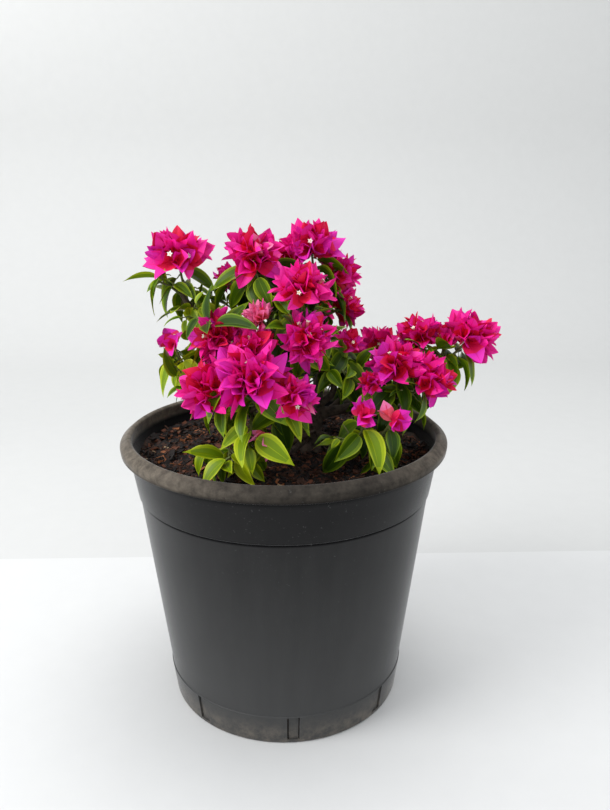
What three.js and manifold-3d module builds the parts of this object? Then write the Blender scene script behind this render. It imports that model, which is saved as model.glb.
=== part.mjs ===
// A bougainvillea bush in flower, in a round black plastic nursery pot filled with bark compost.
// Millimetres, +Z up. The origin is the centre of the pot's flat underside and the front faces -Y.
// The trunk stands on the soil and forks into boughs; each bough carries one mass of foliage.
import * as THREE from 'three';
import { mergeVertices } from 'three/addons/utils/BufferGeometryUtils.js';
import Module from 'manifold-3d';

// Driving dimensions
const GAP = 0.3;
const UP = new THREE.Vector3(0, 0, 1);
const DEGREE = Math.PI / 180;
const GOLDEN_ANGLE = 137.5 * DEGREE;

const POT = {
  sides: 48,
  wall: 2.5,
  floor: 3,
  footChamfer: 1.2,
  baseRadius: 110.7,
  footProud: 0.8,
  footTop: 30,
  neckRadius: 134.5,
  neckHeight: 205.5,
  collarRadius: 135.8,
  collarBottom: 206.3,
  collarTopRadius: 142.6,
  collarTop: 248,
  skirtRadius: 146,
  lipRadius: 149,
  lipBottom: 245.6,
  rimRadius: 150,
  rimShoulder: 252.7,
  crestRadius: 142.5,
  crestInnerRadius: 139,
  height: 259,
};

const SLOT = { count: 8, width: 11, bottom: 4, top: 29, turn: 3 * DEGREE };

const SOIL = { sides: 24, rings: 6, level: 235, lump: 4, flatRadius: 26, clear: 0.4 };

const TRUNK = {
  base: [24, 6],
  top: [30, 1],
  height: 48,
  footRadius: 15,
  radius: 10,
  topRadius: 8.5,
  flareHeight: 12,
  sides: 15,
  rings: 6,
  roots: 5,
  rootSwell: 0.14,
};

// A bough's own ring of sides and its rings from end to end.
const BOUGH = { sides: 6, rings: 4 };

// Three-sided twigs: the stem of a mass, and what grows from it.
const TWIG = { sides: 3, stemTip: 2.4, radius: 1.5, tipRadius: 1.1 };

// Leaves and bracts: width and the widest place are shares of the length, droop bends the tip down,
// fold lifts the edges and sink is how far the root goes in behind its place.
const LEAF = { length: 45, width: 0.52, thickness: 2.2, fold: 0.2, droop: 0.16, widest: 0.42, sink: 0.5 };
const BRACT = { length: 23, width: 0.84, thickness: 2, fold: 0.28, droop: 0.12, widest: 0.52, sink: 2 };

// A leaf that doesn't fit is tried smaller or turned round its twig: pairs of a size and a turn.
const LEAF_TRIES = [[1, 0], [1, 1.7], [1, -1.7], [0.8, 3.1], [0.7, 0.8], [0.6, -0.8]];
const LEAF_FORWARD = 0.45;
const LEAF_OUTWARD = 0.8;

// The stem runs from its bough's tip, round a knee, to a hub below the middle of the mass.
const STEM = { knee: 0.35, hubDrop: 0.2 };

// A flower head: bracts stand round a core at the end of a stalk, with a few leaves below it.
const HEAD = {
  core: 9,
  smallestCore: 0.45,
  seat: 0.8,
  bracts: 14,
  fewestBracts: 0.3,
  size: [0.9, 1.08],
  innerTilt: 14 * DEGREE,
  outerTilt: 102 * DEGREE,
  twist: 60 * DEGREE,
  wander: 0.2,
  upright: 1.1,
  outward: 0.35,
  from: [0.6, 0.96],
  bend: 0.45,
  leaves: 4,
  firstLeaf: 0.8,
  leafStep: 0.14,
  leafSize: [0.75, 1.05],
  leafDroop: [0.2, 1],
};

// A leafy shoot, in shares of the stem's length, of the mass's reach and of its own length.
const SHOOT = {
  from: [0.35, 1],
  wander: 0.4,
  rise: [-0.5, 0.9],
  length: [0.4, 0.62],
  arch: 0.08,
  firstLeaf: 0.3,
  leafSpacing: 7,
  leafTurn: 1.3 * GOLDEN_ANGLE,
  leafSize: [0.7, 1.05],
  leafDroop: [0.2, 1.1],
};

// How far beyond its reach a mass may grow where it has no neighbour, how clear it stays of the pot,
// and how far its joined solid may be eased.
const OUTER_REACH = 1.2;
const POT_CLEAR = 2;
const EASE = 0.25;

// Each bough leaves its parent at a share of the parent's length, is bowed at its middle, ends at its
// tip and tapers from its first radius to its second.
const BOUGHS = [
  { name: 'top_left', from: 'trunk', at: 0.72,
    tip: [-75, -4, 358], bow: [-18, 4, -24], radii: [5.2, 3] },
  { name: 'left_low', from: 'top_left', at: 0.55,
    tip: [-66, -22, 306], bow: [0, -4, -3], radii: [3.2, 2.4] },
  { name: 'centre', from: 'trunk', at: 0.86,
    tip: [12, -26, 342], bow: [-4, -6, 0], radii: [5.4, 3.2] },
  { name: 'top_centre', from: 'centre', at: 0.45,
    tip: [-16, -8, 376], bow: [-5, 6, -6], radii: [3.6, 2.8] },
  { name: 'top_right', from: 'trunk', at: 0.97,
    tip: [26, 22, 356], bow: [5, 6, 0], radii: [5.4, 3.2] },
  { name: 'front', from: 'trunk', at: 0.5,
    tip: [-18, -50, 282], bow: [2, -6, -3], radii: [4.8, 3] },
  { name: 'left_centre', from: 'top_left', at: 0.3,
    tip: [-46, -30, 338], bow: [0, -6, -4], radii: [3.4, 2.6] },
  { name: 'low_left', from: 'trunk', at: 0.3,
    tip: [-28, -62, 252], bow: [4, -8, -5], radii: [3.4, 2.4] },
  { name: 'inner_right', from: 'trunk', at: 0.88,
    tip: [46, -8, 308], bow: [6, 0, -2], radii: [3.6, 2.6] },
  { name: 'right', from: 'trunk', at: 0.7,
    tip: [118, 4, 304], bow: [0, 4, -8], radii: [5.4, 3.2] },
  { name: 'right_front', from: 'right', at: 0.42,
    tip: [82, -20, 290], bow: [2, 2, -3], radii: [3.4, 2.6] },
  { name: 'low_right', from: 'trunk', at: 0.4,
    tip: [54, -46, 262], bow: [4, -2, -5], radii: [3.6, 2.4] },
  { name: 'back_left', from: 'trunk', at: 0.55,
    tip: [-34, 38, 292], bow: [-4, 4, -7], radii: [4.4, 2.8] },
  { name: 'back_high', from: 'top_right', at: 0.4,
    tip: [14, 52, 340], bow: [-2, 6, -5], radii: [3.8, 2.8] },
  { name: 'back_low', from: 'trunk', at: 0.45,
    tip: [10, 56, 272], bow: [-2, 4, -6], radii: [4.2, 2.8] },
  { name: 'back_right', from: 'trunk', at: 0.6,
    tip: [64, 36, 286], bow: [2, 6, -5], radii: [4.2, 2.8] },
];

// The mass on the bough of the same name keeps to its own space: a ball of its reach round its centre,
// parted from its neighbours by flat planes. A flower head is given by the middle of its core and its
// size against a full head.
const MASSES = [
  { name: 'top_left', centre: [-90, -6, 396], reach: 52, shoots: 3, seed: 11,
    heads: [[-90, -6, 410, 1.12]] },
  { name: 'left_low', centre: [-84, -28, 324], reach: 40, shoots: 5, seed: 12,
    heads: [[-94, -32, 344, 0.45]] },
  { name: 'top_centre', centre: [-34, -20, 402], reach: 46, shoots: 3, seed: 13,
    heads: [[-25, -26, 413, 1], [-48, 2, 396, 0.5]] },
  { name: 'top_right', centre: [30, 26, 400], reach: 56, shoots: 3, seed: 14,
    heads: [[26, 22, 416, 1.05], [6, 16, 412, 0.75], [48, 32, 394, 0.85], [52, 32, 364, 0.8]] },
  { name: 'centre', centre: [12, -54, 366], reach: 48, shoots: 4, seed: 31,
    heads: [[15, -54, 388, 1], [17, -60, 353, 0.9], [-18, -52, 368, 0.6]] },
  { name: 'left_centre', centre: [-53, -46, 360], reach: 43, shoots: 4, seed: 16,
    heads: [[-52, -51, 353, 0.9]] },
  { name: 'front', centre: [-22, -86, 318], reach: 60, shoots: 3, seed: 17,
    heads: [[-27, -66, 343, 0.85], [-56, -78, 313, 1.05], [-25, -90, 324, 1.2], [5, -86, 309, 0.85],
      [-16, -92, 277, 0.35]] },
  { name: 'low_left', centre: [-52, -86, 262], reach: 40, shoots: 6, seed: 18,
    heads: [] },
  { name: 'inner_right', centre: [50, -24, 326], reach: 40, shoots: 5, seed: 19,
    heads: [[55, -16, 337, 0.65]] },
  { name: 'right_front', centre: [98, -40, 308], reach: 48, shoots: 4, seed: 20,
    heads: [[96, -44, 323, 0.95], [121, -44, 311, 0.95], [75, -54, 313, 0.5]] },
  { name: 'right', centre: [148, 2, 332], reach: 54, shoots: 4, seed: 21,
    heads: [[125, 8, 338, 0.9], [165, -2, 339, 1.05]] },
  { name: 'low_right', centre: [66, -76, 272], reach: 42, shoots: 5, seed: 22,
    heads: [[65, -76, 292, 0.35], [88, -78, 288, 0.4]] },
  { name: 'back_left', centre: [-58, 58, 316], reach: 48, shoots: 4, seed: 23,
    heads: [[-66, 66, 330, 0.95], [-38, 76, 306, 0.75]] },
  { name: 'back_high', centre: [8, 82, 362], reach: 50, shoots: 4, seed: 24,
    heads: [[-2, 92, 374, 1], [30, 84, 352, 0.8]] },
  { name: 'back_low', centre: [8, 92, 298], reach: 48, shoots: 5, seed: 25,
    heads: [[6, 106, 304, 0.85]] },
  { name: 'back_right', centre: [84, 58, 302], reach: 48, shoots: 4, seed: 26,
    heads: [[94, 66, 316, 0.9], [58, 78, 306, 0.7]] },
];

const COLOURS = {
  plastic: { color: 0x3b3c3e, roughness: 0.5, metalness: 0 },
  compost: { color: 0x2c1a12, roughness: 0.95, metalness: 0 },
  bark: { color: 0x5d4a3a, roughness: 0.9, metalness: 0 },
  leaves: { color: 0x4f8a24, roughness: 0.5, metalness: 0 },
  blossom: { color: 0xc8186e, roughness: 0.6, metalness: 0 },
};

// Solids and their booleans
const wasm = await Module();
wasm.setup();

function toSolid(geometry) {
  const bare = geometry.clone();
  bare.deleteAttribute('normal');
  bare.deleteAttribute('uv');
  const merged = mergeVertices(bare, 1e-5);
  return new wasm.Manifold(new wasm.Mesh({
    numProp: 3,
    vertProperties: new Float32Array(merged.attributes.position.array),
    triVerts: new Uint32Array(merged.index.array),
  }));
}

function toGeometry(solid) {
  const mesh = solid.getMesh();
  const geometry = new THREE.BufferGeometry();
  geometry.setAttribute('position', new THREE.BufferAttribute(new Float32Array(mesh.vertProperties), 3));
  geometry.setIndex(new THREE.BufferAttribute(new Uint32Array(mesh.triVerts), 1));
  geometry.computeVertexNormals();
  return geometry;
}

// The joined body alone: loose scraps are dropped and sealed hollows are filled.
function largestBody(solid) {
  const bodies = solid.decompose();
  return bodies.reduce((best, body) => (body.volume() > best.volume() ? body : best));
}

function overlaps(solid, other) {
  return solid.intersect(other).volume() > 0;
}

function random(seed) {
  let state = seed >>> 0;
  return () => {
    state = (state + 0x6d2b79f5) >>> 0;
    let mixed = Math.imul(state ^ (state >>> 15), 1 | state);
    mixed = (mixed + Math.imul(mixed ^ (mixed >>> 7), 61 | mixed)) ^ mixed;
    return ((mixed ^ (mixed >>> 14)) >>> 0) / 4294967296;
  };
}

function mix(from, to, share) {
  return from + (to - from) * share;
}

function pick([from, to], next) {
  return mix(from, to, next());
}

function vector([x, y, z]) {
  return new THREE.Vector3(x, y, z);
}

// The part of a direction that is square to another, made a unit long.
function squareTo(direction, axis) {
  return direction.clone().addScaledVector(axis, -direction.dot(axis)).normalize();
}

// Away from the trunk, level.
function outward(point) {
  return new THREE.Vector3(point.x - TRUNK.base[0], point.y - TRUNK.base[1], 0).normalize();
}

// A piece of a mass: its solid, the corners that have to stay in the mass's space, and its box.
function piece(geometry, corners, curve) {
  const solid = toSolid(geometry);
  const { min, max } = solid.boundingBox();
  return { solid, corners, curve, box: new THREE.Box3(vector(min), vector(max)) };
}

function crosses(one, other) {
  return one.box.intersectsBox(other.box) && overlaps(one.solid, other.solid);
}

// Pot
function wallRadius(height) {
  return mix(POT.baseRadius - POT.footProud, POT.neckRadius, height / POT.neckHeight);
}

function potProfile() {
  return [
    [0, 0],
    [POT.baseRadius - POT.footChamfer, 0],
    [POT.baseRadius, POT.footChamfer],
    [wallRadius(POT.footTop) + POT.footProud, POT.footTop - POT.footProud],
    [wallRadius(POT.footTop), POT.footTop],
    [POT.neckRadius, POT.neckHeight],
    [POT.collarRadius, POT.collarBottom],
    [POT.collarTopRadius, POT.collarTop],
    [POT.skirtRadius, POT.collarTop],
    [POT.skirtRadius, POT.lipBottom],
    [POT.lipRadius, POT.lipBottom],
    [POT.rimRadius, POT.rimShoulder],
    [POT.crestRadius, POT.height],
    [POT.crestInnerRadius, POT.height],
    [POT.collarTopRadius - POT.wall, POT.collarTop],
    [POT.collarRadius - POT.wall, POT.collarBottom],
    [POT.neckRadius - POT.wall, POT.neckHeight],
    [wallRadius(POT.floor) - POT.wall, POT.floor],
    [0, POT.floor],
  ];
}

// A body turned about +Z from (radius, height) pairs, with a flat side facing each slot of the pot.
function turned(profile, sides) {
  const points = profile.map(([radius, height]) => new THREE.Vector2(radius, height));
  const geometry = new THREE.LatheGeometry(points, sides);
  geometry.rotateX(90 * DEGREE);
  geometry.rotateZ(SLOT.turn + Math.PI / POT.sides);
  return geometry;
}

function potSolid() {
  let pot = toSolid(turned(potProfile(), POT.sides));
  const depth = 4 * POT.wall;
  for (let index = 0; index < SLOT.count; index += 1) {
    const angle = -90 * DEGREE + SLOT.turn + (index * 2 * Math.PI) / SLOT.count;
    const slot = new THREE.BoxGeometry(depth, SLOT.width, SLOT.top - SLOT.bottom);
    slot.translate(POT.baseRadius, 0, (SLOT.top + SLOT.bottom) / 2);
    slot.rotateZ(angle);
    pot = pot.subtract(toSolid(slot));
  }
  return pot;
}

// Soil: a plug that fills the pot, level round the trunk's foot and lumpy elsewhere
function soilLump(x, y) {
  const away = Math.hypot(x - TRUNK.base[0], y - TRUNK.base[1]) - SOIL.flatRadius;
  const share = Math.min(Math.max(away / SOIL.flatRadius, 0), 1);
  const broad = Math.sin(x / 9 + 1) * Math.cos(y / 11);
  const fine = Math.sin(x / 5 - y / 6 + 2);
  return SOIL.lump * share * (0.6 * broad + 0.4 * fine);
}

function soilGeometry() {
  const inner = POT.wall + SOIL.clear;
  const upCollar = (SOIL.level - POT.collarBottom) / (POT.collarTop - POT.collarBottom);
  const edge = mix(POT.collarRadius, POT.collarTopRadius, upCollar) - inner;
  const profile = [
    [0, POT.floor + SOIL.clear],
    [wallRadius(POT.floor) - inner, POT.floor + SOIL.clear],
    [POT.neckRadius - inner, POT.neckHeight],
    [POT.collarRadius - inner, POT.collarBottom],
  ];
  for (let ring = SOIL.rings; ring >= 0; ring -= 1) {
    profile.push([(edge * ring) / SOIL.rings, SOIL.level]);
  }
  const geometry = turned(profile, SOIL.sides);
  const position = geometry.attributes.position;
  for (let index = 0; index < position.count; index += 1) {
    const x = position.getX(index);
    const y = position.getY(index);
    const onTop = position.getZ(index) > POT.collarBottom + 1;
    if (onTop && Math.hypot(x, y) < edge - 1) {
      position.setZ(index, SOIL.level + soilLump(x, y));
    }
  }
  return geometry;
}

// Trunk and boughs: a closed cylinder bent along a curve, with a radius for each place on it
function bentCylinder(curve, radiusAt, sides, rings) {
  const geometry = new THREE.CylinderGeometry(1, 1, 1, sides, rings);
  const frames = curve.computeFrenetFrames(rings, false);
  const centres = curve.getSpacedPoints(rings);
  const position = geometry.attributes.position;
  for (let index = 0; index < position.count; index += 1) {
    const ring = Math.round((position.getY(index) + 0.5) * rings);
    const across = position.getX(index);
    const along = position.getZ(index);
    const radius = radiusAt(ring / rings, Math.atan2(along, across));
    const place = centres[ring].clone();
    place.addScaledVector(frames.normals[ring], across * radius);
    place.addScaledVector(frames.binormals[ring], -along * radius);
    position.setXYZ(index, place.x, place.y, place.z);
  }
  return geometry;
}

function trunkCurve() {
  const foot = new THREE.Vector3(TRUNK.base[0], TRUNK.base[1], SOIL.level + GAP);
  const head = new THREE.Vector3(TRUNK.top[0], TRUNK.top[1], SOIL.level + GAP + TRUNK.height);
  const straightUp = foot.clone().addScaledVector(UP, TRUNK.height / 3);
  return new THREE.QuadraticBezierCurve3(foot, straightUp, head);
}

function trunkRadius(share, angle) {
  const flare = Math.max(1 - (share * TRUNK.height) / TRUNK.flareHeight, 0) ** 2;
  const roots = 1 + TRUNK.rootSwell * flare * Math.cos(TRUNK.roots * angle);
  return mix(mix(TRUNK.radius, TRUNK.topRadius, share), TRUNK.footRadius, flare) * roots;
}

// The curve starts straight up, so its first ring is the flat cut at the ground.
function trunkSolid(extra) {
  const radiusAt = (share, angle) => trunkRadius(share, angle) + extra;
  return toSolid(bentCylinder(trunkCurve(), radiusAt, TRUNK.sides, TRUNK.rings));
}

function boughCurve(bough, parentCurve) {
  const start = parentCurve.getPointAt(bough.at);
  const tip = vector(bough.tip);
  const middle = start.clone().lerp(tip, 0.5).add(vector(bough.bow));
  return new THREE.CatmullRomCurve3([start, middle, tip]);
}

function boughSolid(bough, curve, extra) {
  const radiusAt = (share) => mix(...bough.radii, share) + extra;
  return toSolid(bentCylinder(curve, radiusAt, BOUGH.sides, BOUGH.rings));
}

// Leaves and bracts: eight faces round a root, a tip, two edges and the two sides of the midrib
function blade(shape, root, direction, facing, size) {
  const length = shape.length * size;
  const halfWidth = (length * shape.width) / 2;
  const belly = length * shape.widest;
  const normal = squareTo(facing, direction);
  const across = new THREE.Vector3().crossVectors(normal, direction);
  const at = (along, side, lift) => root.clone()
    .addScaledVector(direction, along)
    .addScaledVector(across, side)
    .addScaledVector(normal, lift);
  const corners = {
    x: at(length, 0, -length * shape.droop),
    nx: at(-shape.sink, 0, 0),
    y: at(belly, halfWidth, halfWidth * shape.fold),
    ny: at(belly, -halfWidth, halfWidth * shape.fold),
    z: at(belly, 0, shape.thickness / 2),
    nz: at(belly, 0, -shape.thickness / 2),
  };
  const geometry = new THREE.OctahedronGeometry(1, 0);
  const position = geometry.attributes.position;
  for (let index = 0; index < position.count; index += 1) {
    const corner = new THREE.Vector3().fromBufferAttribute(position, index).round();
    const axis = ['x', 'y', 'z'].find((name) => corner[name] !== 0);
    const place = corners[(corner[axis] < 0 ? 'n' : '') + axis];
    position.setXYZ(index, place.x, place.y, place.z);
  }
  return piece(geometry, Object.values(corners));
}

// Twigs: three-sided and tapering, bent through their points
function twig(points, radius, tipRadius) {
  const curve = new THREE.CatmullRomCurve3(points);
  const radiusAt = (share) => mix(radius, tipRadius, share);
  const geometry = bentCylinder(curve, radiusAt, TWIG.sides, points.length - 1);
  const position = geometry.attributes.position;
  const corners = [];
  for (let index = 0; index < position.count; index += 1) {
    corners.push(new THREE.Vector3().fromBufferAttribute(position, index));
  }
  return piece(geometry, corners, curve);
}

// The space of a mass
function inSpace(point, mass) {
  const power = (other) => point.distanceToSquared(vector(other.centre)) - other.reach ** 2;
  if (point.distanceTo(vector(mass.centre)) > mass.reach * OUTER_REACH) {
    return false;
  }
  return MASSES.filter((other) => other !== mass).every((other) => {
    const apart = vector(other.centre).distanceTo(vector(mass.centre));
    return power(mass) + 2 * apart * GAP < power(other);
  });
}

// A piece is either all above the rim or all inside it and above the soil.
function clearOfPot(corners) {
  const aboveRim = (point) => point.z > POT.height + POT_CLEAR;
  const insideRim = (point) => Math.hypot(point.x, point.y) < POT.crestInnerRadius - 2 * POT_CLEAR
    && point.z > SOIL.level + SOIL.lump + 1;
  return corners.every(aboveRim) || corners.every(insideRim);
}

function fits(part, mass, limbs) {
  const inside = part.corners.every((point) => inSpace(point, mass)) && clearOfPot(part.corners);
  return inside && !limbs.some((limb) => overlaps(part.solid, limb));
}

// One mass: a stem from the bough's tip, stalks to the flower heads and leafy shoots between them.
// Each head and each shoot draws from its own run of random numbers.
function growMass(mass, bough, curveOfBough, limbs) {
  const centre = vector(mass.centre);
  const wood = [];
  const blades = [];

  // Keeps the first blade that fits and crosses nothing but the wood that bears it.
  function addBlade(candidates, bearer) {
    const others = [...wood.filter((part) => part !== bearer), ...blades];
    const isClear = (part) => fits(part, mass, limbs) && !others.some((other) => crosses(part, other));
    const kept = candidates.find(isClear);
    if (kept) {
      blades.push(kept);
    }
  }

  function addLeaf(branch, share, turn, size, droop) {
    const root = branch.curve.getPointAt(share);
    const along = branch.curve.getTangentAt(share);
    const facing = outward(root).multiplyScalar(LEAF_OUTWARD).add(UP);
    addBlade(LEAF_TRIES.map(([smaller, onward]) => {
      const side = squareTo(UP, along).applyAxisAngle(along, turn + onward);
      const direction = side.addScaledVector(along, LEAF_FORWARD).addScaledVector(UP, -droop).normalize();
      return blade(LEAF, root, direction, facing, size * smaller);
    }), branch);
  }

  function growHead([x, y, z, size], index) {
    const next = random(mass.seed * 1000 + index);
    const middle = new THREE.Vector3(x, y, z);
    const from = stem.curve.getPointAt(pick(HEAD.from, next));
    const axis = middle.clone().sub(centre).normalize().addScaledVector(UP, HEAD.upright)
      .addScaledVector(outward(middle), HEAD.outward).normalize();
    const bend = middle.clone().addScaledVector(axis, -HEAD.bend * middle.distanceTo(from));
    const stalk = twig([from, bend, middle], TWIG.radius, TWIG.tipRadius);
    const radius = HEAD.core * mix(HEAD.smallestCore, 1, size);
    const geometry = new THREE.IcosahedronGeometry(radius, 0);
    geometry.translate(x, y, z);
    const core = piece(geometry, []);
    wood.push(stalk, core);
    return { next, middle, axis, size, radius, core, stalk };
  }

  function growShoot(index) {
    const next = random(mass.seed * 1000 + 500 + index);
    const from = stem.curve.getPointAt(mix(...SHOOT.from, (index + next()) / mass.shoots));
    const around = index * GOLDEN_ANGLE + mass.seed + mix(-SHOOT.wander, SHOOT.wander, next());
    const rise = mix(...SHOOT.rise, (index + 0.5) / mass.shoots);
    const direction = new THREE.Vector3(Math.cos(around), Math.sin(around), rise).normalize();
    const length = mass.reach * pick(SHOOT.length, next);
    const end = from.clone().addScaledVector(direction, length);
    const bend = from.clone().lerp(end, 0.5).addScaledVector(UP, length * SHOOT.arch);
    const branch = twig([from, bend, end], TWIG.radius, TWIG.tipRadius);
    if (!fits(branch, mass, limbs)) {
      return [];
    }
    wood.push(branch);
    return [{ next, branch, leaves: Math.round(length / SHOOT.leafSpacing) }];
  }

  function addBract(head, turn, bracts) {
    const { axis, next } = head;
    const tilt = mix(HEAD.innerTilt, HEAD.outerTilt, ((turn + 0.5) / bracts) ** 0.8);
    const around = turn * GOLDEN_ANGLE + mix(-HEAD.wander, HEAD.wander, next());
    const side = squareTo(new THREE.Vector3(1, 0, 0.2), axis).applyAxisAngle(axis, around);
    const direction = axis.clone().multiplyScalar(Math.cos(tilt)).addScaledVector(side, Math.sin(tilt));
    const facing = side.clone().multiplyScalar(Math.cos(tilt)).addScaledVector(axis, -Math.sin(tilt));
    const root = head.middle.clone().addScaledVector(direction, HEAD.seat * head.radius);
    const size = head.size * pick(HEAD.size, next);
    const twist = mix(-HEAD.twist, HEAD.twist, next());
    addBlade([twist, 0, -twist].map((angle) => {
      const turnedFacing = facing.clone().applyAxisAngle(direction, angle);
      return blade(BRACT, root, direction, turnedFacing, size);
    }), head.core);
  }

  const tip = curveOfBough.getPointAt(1);
  const heading = curveOfBough.getTangentAt(1);
  const start = tip.clone().addScaledVector(heading, GAP);
  const hub = centre.clone().addScaledVector(UP, -STEM.hubDrop * mass.reach);
  const knee = start.clone().addScaledVector(heading, STEM.knee * start.distanceTo(hub));
  const stem = twig([start, knee, hub], bough.radii[1], TWIG.stemTip);
  wood.push(stem);
  const heads = mass.heads.map(growHead);
  const shoots = Array.from({ length: mass.shoots }, (_, index) => growShoot(index)).flat();

  heads.forEach((head) => {
    const bracts = Math.round(HEAD.bracts * mix(HEAD.fewestBracts, 1, head.size));
    for (let turn = 0; turn < bracts; turn += 1) {
      addBract(head, turn, bracts);
    }
    for (let leaf = 0; leaf < HEAD.leaves; leaf += 1) {
      const share = HEAD.firstLeaf - HEAD.leafStep * leaf;
      const size = pick(HEAD.leafSize, head.next);
      addLeaf(head.stalk, share, leaf * GOLDEN_ANGLE + head.next(), size, pick(HEAD.leafDroop, head.next));
    }
  });
  shoots.forEach(({ next, branch, leaves }) => {
    for (let leaf = 0; leaf < leaves; leaf += 1) {
      const share = mix(SHOOT.firstLeaf, 1, leaf / (leaves - 1));
      const size = pick(SHOOT.leafSize, next);
      addLeaf(branch, share, leaf * SHOOT.leafTurn + next(), size, pick(SHOOT.leafDroop, next));
    }
  });

  const solids = [...wood, ...blades].map((part) => part.solid);
  const joined = solids.reduce((sum, solid) => sum.add(solid));
  return largestBody(joined.asOriginal().simplify(EASE));
}

// Assembly
const plant = new THREE.Group();

function addNode(name, geometry, colour) {
  const mesh = new THREE.Mesh(geometry, new THREE.MeshStandardMaterial(COLOURS[colour]));
  mesh.name = name;
  plant.add(mesh);
}

addNode('pot', toGeometry(potSolid()), 'plastic');
addNode('soil', soilGeometry(), 'compost');
addNode('trunk', toGeometry(trunkSolid(0)), 'bark');

// Every limb is cut clear of the limbs that it leaves or forks beside.
const curves = { trunk: trunkCurve() };
const limbs = [trunkSolid(GAP)];
BOUGHS.forEach((bough) => {
  const curve = boughCurve(bough, curves[bough.from]);
  const cutClear = limbs.reduce((solid, limb) => solid.subtract(limb), boughSolid(bough, curve, 0));
  curves[bough.name] = curve;
  addNode(`bough_${bough.name}`, toGeometry(largestBody(cutClear)), 'bark');
  limbs.push(boughSolid(bough, curve, GAP));
});

MASSES.forEach((mass) => {
  const bough = BOUGHS.find(({ name }) => name === mass.name);
  const solid = growMass(mass, bough, curves[bough.name], limbs);
  addNode(`mass_${mass.name}`, toGeometry(solid), mass.heads.length > 0 ? 'blossom' : 'leaves');
});

export default plant;
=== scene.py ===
import math

import bmesh
import bpy
import numpy as np
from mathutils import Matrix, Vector, noise


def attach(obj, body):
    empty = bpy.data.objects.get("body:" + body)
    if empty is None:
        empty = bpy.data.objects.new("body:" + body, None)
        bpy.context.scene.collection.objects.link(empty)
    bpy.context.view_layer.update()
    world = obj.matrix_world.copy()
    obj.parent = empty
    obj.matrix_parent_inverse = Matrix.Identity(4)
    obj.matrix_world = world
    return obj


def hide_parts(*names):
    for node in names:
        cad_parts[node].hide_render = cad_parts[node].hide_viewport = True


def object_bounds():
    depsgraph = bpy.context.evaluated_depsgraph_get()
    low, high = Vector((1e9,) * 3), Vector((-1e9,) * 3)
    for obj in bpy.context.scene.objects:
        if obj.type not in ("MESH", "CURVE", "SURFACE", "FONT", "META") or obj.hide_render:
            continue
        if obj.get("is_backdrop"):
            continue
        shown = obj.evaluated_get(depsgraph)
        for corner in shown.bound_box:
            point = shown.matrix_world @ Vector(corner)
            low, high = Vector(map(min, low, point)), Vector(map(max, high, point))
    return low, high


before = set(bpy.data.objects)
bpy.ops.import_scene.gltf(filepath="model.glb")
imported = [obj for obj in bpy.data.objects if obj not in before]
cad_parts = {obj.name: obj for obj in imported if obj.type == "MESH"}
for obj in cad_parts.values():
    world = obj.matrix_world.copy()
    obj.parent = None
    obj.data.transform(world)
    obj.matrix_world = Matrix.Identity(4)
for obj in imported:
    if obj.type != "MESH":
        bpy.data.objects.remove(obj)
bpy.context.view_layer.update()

# ---------------------------------------------------------------- Nursery pot
# A 12 inch nursery pot, moulded in one shot in black polypropylene. The wall tapers down to a proud
# foot band with eight drain slots, each with a web set back in it; at the top it steps out to a collar
# and a rolled rim with a skirt. Dust lies along the rim and the foot, and films the wall below the collar.
# Thin dark lines under the rim and under the collar's step are painted shadows.
MM = 0.001
FOOT_RADIUS, FOOT_PROUD, FOOT_TOP, FOOT_CHAMFER = 110.7, 0.8, 30, 1.2
NECK_RADIUS, NECK_HEIGHT = 134.5, 205.5
COLLAR_RADIUS, COLLAR_BOTTOM, COLLAR_TOP_RADIUS, COLLAR_TOP = 135.8, 206.3, 142.6, 248
SKIRT_RADIUS, LIP_RADIUS, LIP_BOTTOM, RIM_RADIUS, RIM_SHOULDER = 146, 149, 245.6, 150, 252.7
CREST_RADIUS, CREST_INNER_RADIUS, POT_HEIGHT = 142.5, 139, 259
WALL, POT_FLOOR = 2.5, 3
SLOTS, SLOT_WIDTH, SLOT_BOTTOM, SLOT_TOP, SLOT_TURN = 8, 11, 4, 29, math.radians(3)
WEB_SET_BACK, WEB_THICKNESS, WEB_GAP = 1.5, 1.4, 1.2


def wall_radius(height):
    return FOOT_RADIUS - FOOT_PROUD + (NECK_RADIUS - FOOT_RADIUS + FOOT_PROUD) * height / NECK_HEIGHT


def foot_radius(height):
    share = (height - FOOT_CHAMFER) / (FOOT_TOP - FOOT_PROUD - FOOT_CHAMFER)
    return FOOT_RADIUS + (wall_radius(FOOT_TOP) + FOOT_PROUD - FOOT_RADIUS) * share


def rounded(corners, steps=4):
    """A profile of (radius, height) points from (radius, height, rounding) corners."""
    points = []
    for index, (r, z, rounding) in enumerate(corners):
        if rounding == 0:
            points.append((r, z))
            continue
        here = np.array([r, z], float)
        before = np.array(corners[index - 1][:2], float) - here
        after = np.array(corners[index + 1][:2], float) - here
        start = here + before / np.linalg.norm(before) * rounding
        end = here + after / np.linalg.norm(after) * rounding
        for step in range(steps + 1):
            t = step / steps
            points.append(tuple((1 - t) ** 2 * start + 2 * t * (1 - t) * here + t * t * end))
    return points


def pieces_mesh(name, vertices, faces, materials, kinds=None, smooth=True):
    """A new object at the origin; its corners are given in millimetres of the part's frame."""
    mesh = bpy.data.meshes.new(name)
    mesh.from_pydata((np.asarray(vertices, float) * MM).tolist(), [], faces)
    for material in materials:
        mesh.materials.append(material)
    if kinds is not None:
        mesh.polygons.foreach_set("material_index", np.asarray(kinds, np.int32))
    mesh.polygons.foreach_set("use_smooth", [smooth] * len(mesh.polygons))
    mesh.update()
    made = bpy.data.objects.new(name, mesh)
    bpy.context.collection.objects.link(made)
    return made


def faced_outwards(made):
    """Merges doubled corners and turns every face of a closed piece outwards."""
    work = bmesh.new()
    work.from_mesh(made.data)
    bmesh.ops.remove_doubles(work, verts=work.verts, dist=1e-6)
    bmesh.ops.recalc_face_normals(work, faces=work.faces)
    work.to_mesh(made.data)
    work.free()


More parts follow.
